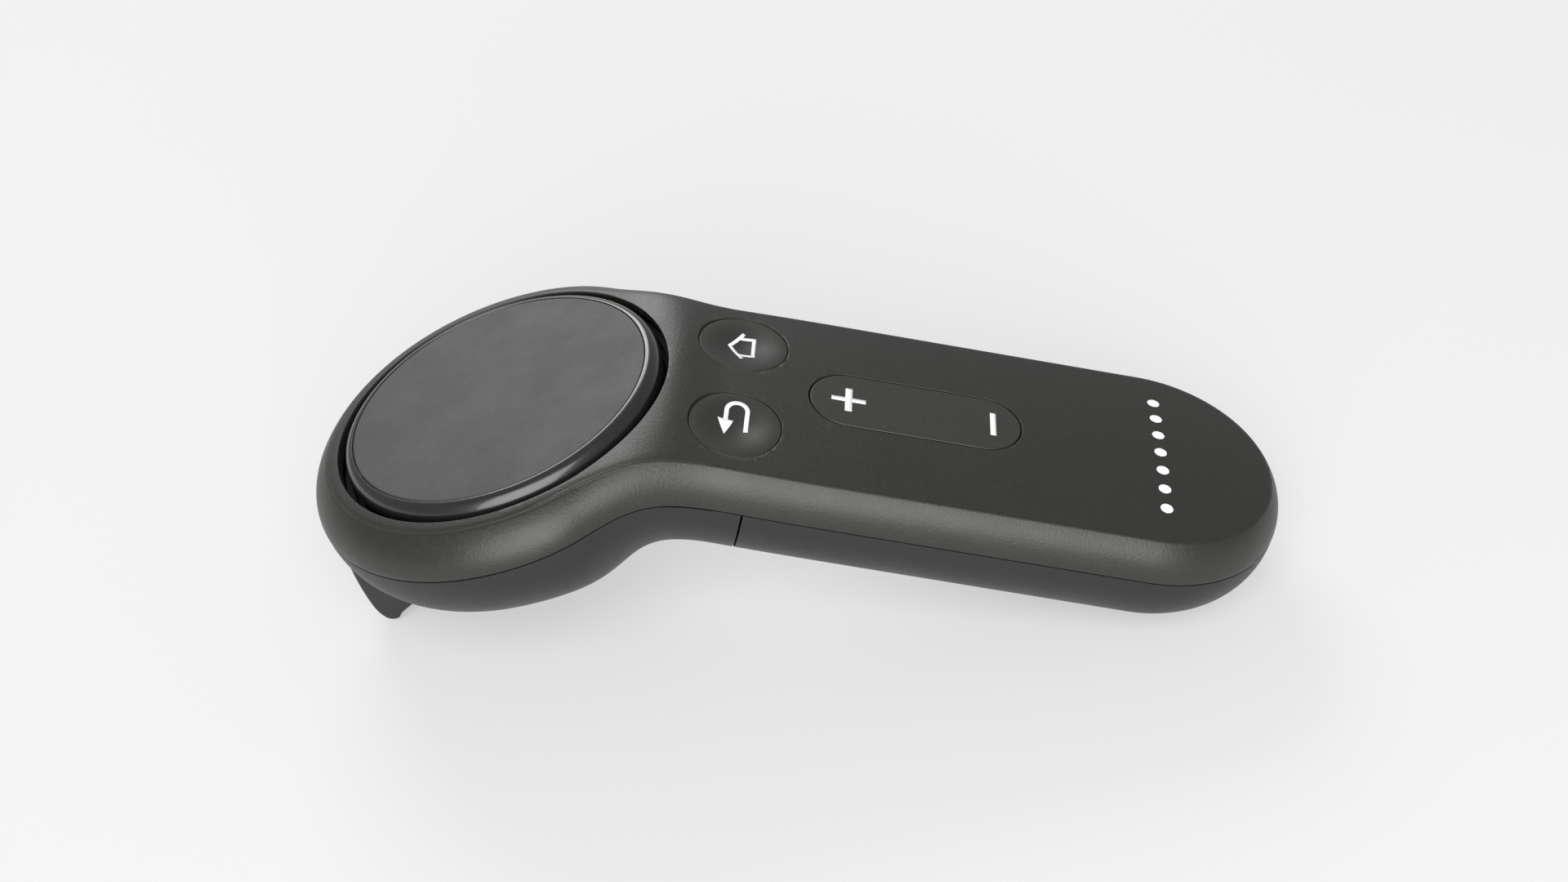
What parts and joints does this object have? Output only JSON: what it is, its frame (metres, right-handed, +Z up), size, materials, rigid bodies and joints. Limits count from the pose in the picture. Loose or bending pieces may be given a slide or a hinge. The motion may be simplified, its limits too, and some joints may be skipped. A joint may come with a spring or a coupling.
{
  "type": "vr motion controller",
  "caption": "One-hand motion controller with a round head that holds a clicking touch pad, a straight handle with thumb buttons and a volume rocker, and a finger trigger.",
  "frame": {"origin": "centre of the bounding box, at the surface the controller lies on", "axes": "+Z up, +X along the handle away from the head, +Y to the left of the handle seen from the head's back end; the controller lies on its trigger and on the end of its handle"},
  "size_m": [0.1098, 0.048, 0.0317],
  "materials": {
    "pad_rim": "polished",
    "pad_surface": "matt",
    "touch_board": "solder mask",
    "pad_carrier": "matt",
    "pad_frame": "matt",
    "pad_spring": "bare",
    "head_board": "solder mask",
    "pad_switch": "bare",
    "trigger_switch": "moulded",
    "upper_shell": "fine matt grain",
    "lower_shell": "satin",
    "battery_cover": "satin",
    "home_button": "satin",
    "back_button": "satin",
    "volume_rocker": "satin",
    "rocker_axle": "bare",
    "main_board": "solder mask",
    "home_dome": "bare",
    "back_dome": "bare",
    "volume_up_dome": "bare",
    "volume_down_dome": "bare",
    "radio_chip": "moulded",
    "motion_chip": "moulded",
    "power_chip": "moulded",
    "battery_tray": "matt",
    "battery_left": "printed sleeve",
    "battery_spring_left": "bare",
    "battery_contact_left": "bare",
    "battery_right": "printed sleeve",
    "battery_spring_right": "bare",
    "battery_contact_right": "bare",
    "neck_screw": "bare",
    "tray_screw_front": "bare",
    "tray_screw_rear": "bare",
    "trigger": "polished",
    "trigger_pin": "bare",
    "trigger_spring": "bare"
  },
  "bodies": {
    "housing": {"pad_frame": "pad_frame", "pad_spring": "pad_spring", "head_board": "head_board", "pad_switch": "pad_switch", "trigger_switch": "trigger_switch", "upper_shell": "upper_shell", "lower_shell": "lower_shell", "rocker_axle": "rocker_axle", "main_board": "main_board", "home_dome": "home_dome", "back_dome": "back_dome", "volume_up_dome": "volume_up_dome", "volume_down_dome": "volume_down_dome", "radio_chip": "radio_chip", "motion_chip": "motion_chip", "power_chip": "power_chip", "battery_tray": "battery_tray", "battery_left": "battery_left", "battery_spring_left": "battery_spring_left", "battery_contact_left": "battery_contact_left", "battery_right": "battery_right", "battery_spring_right": "battery_spring_right", "battery_contact_right": "battery_contact_right", "neck_screw": "neck_screw", "tray_screw_front": "tray_screw_front", "tray_screw_rear": "tray_screw_rear", "trigger_pin": "trigger_pin", "trigger_spring": "trigger_spring"},
    "pad": {"pad_rim": "pad_rim", "pad_surface": "pad_surface", "touch_board": "touch_board", "pad_carrier": "pad_carrier"},
    "home_button": {"home_button": "home_button"},
    "back_button": {"back_button": "back_button"},
    "volume_rocker": {"volume_rocker": "volume_rocker"},
    "trigger": {"trigger": "trigger"},
    "battery_cover": {"battery_cover": "battery_cover"}
  },
  "joints": [
    {"name": "pad_click", "type": "slide", "parent": "housing", "child": "pad", "axis": [0.2331, 0, -0.9725], "range_m": [0, 0.0004], "stiffness_N_per_m": 3500, "springref_m": -0.0001},
    {"name": "home_press", "type": "slide", "parent": "housing", "child": "home_button", "axis": [-0.2423, 0, -0.9702], "range_m": [0, 0.0003], "stiffness_N_per_m": 3500, "springref_m": -0.0001},
    {"name": "back_press", "type": "slide", "parent": "housing", "child": "back_button", "axis": [-0.2423, 0, -0.9702], "range_m": [0, 0.0003], "stiffness_N_per_m": 3500, "springref_m": -0.0001},
    {"name": "volume_rock", "type": "hinge", "parent": "housing", "child": "volume_rocker", "pos_m": [0.01373, 0, 0.02196], "axis": [0, 1, 0], "range_deg": [-1.2, 1.2], "stiffness_Nm_per_rad": 0.5},
    {"name": "trigger_pull", "type": "hinge", "parent": "housing", "child": "trigger", "pos_m": [-0.04752, 0, 0.01443], "axis": [0, -1, 0], "range_deg": [0, 10], "stiffness_Nm_per_rad": 0.06, "springref_deg": -8.59},
    {"name": "cover_slide", "type": "slide", "parent": "housing", "child": "battery_cover", "axis": [0.9702, 0, -0.2423], "range_m": [0, 0.061]}
  ]
}
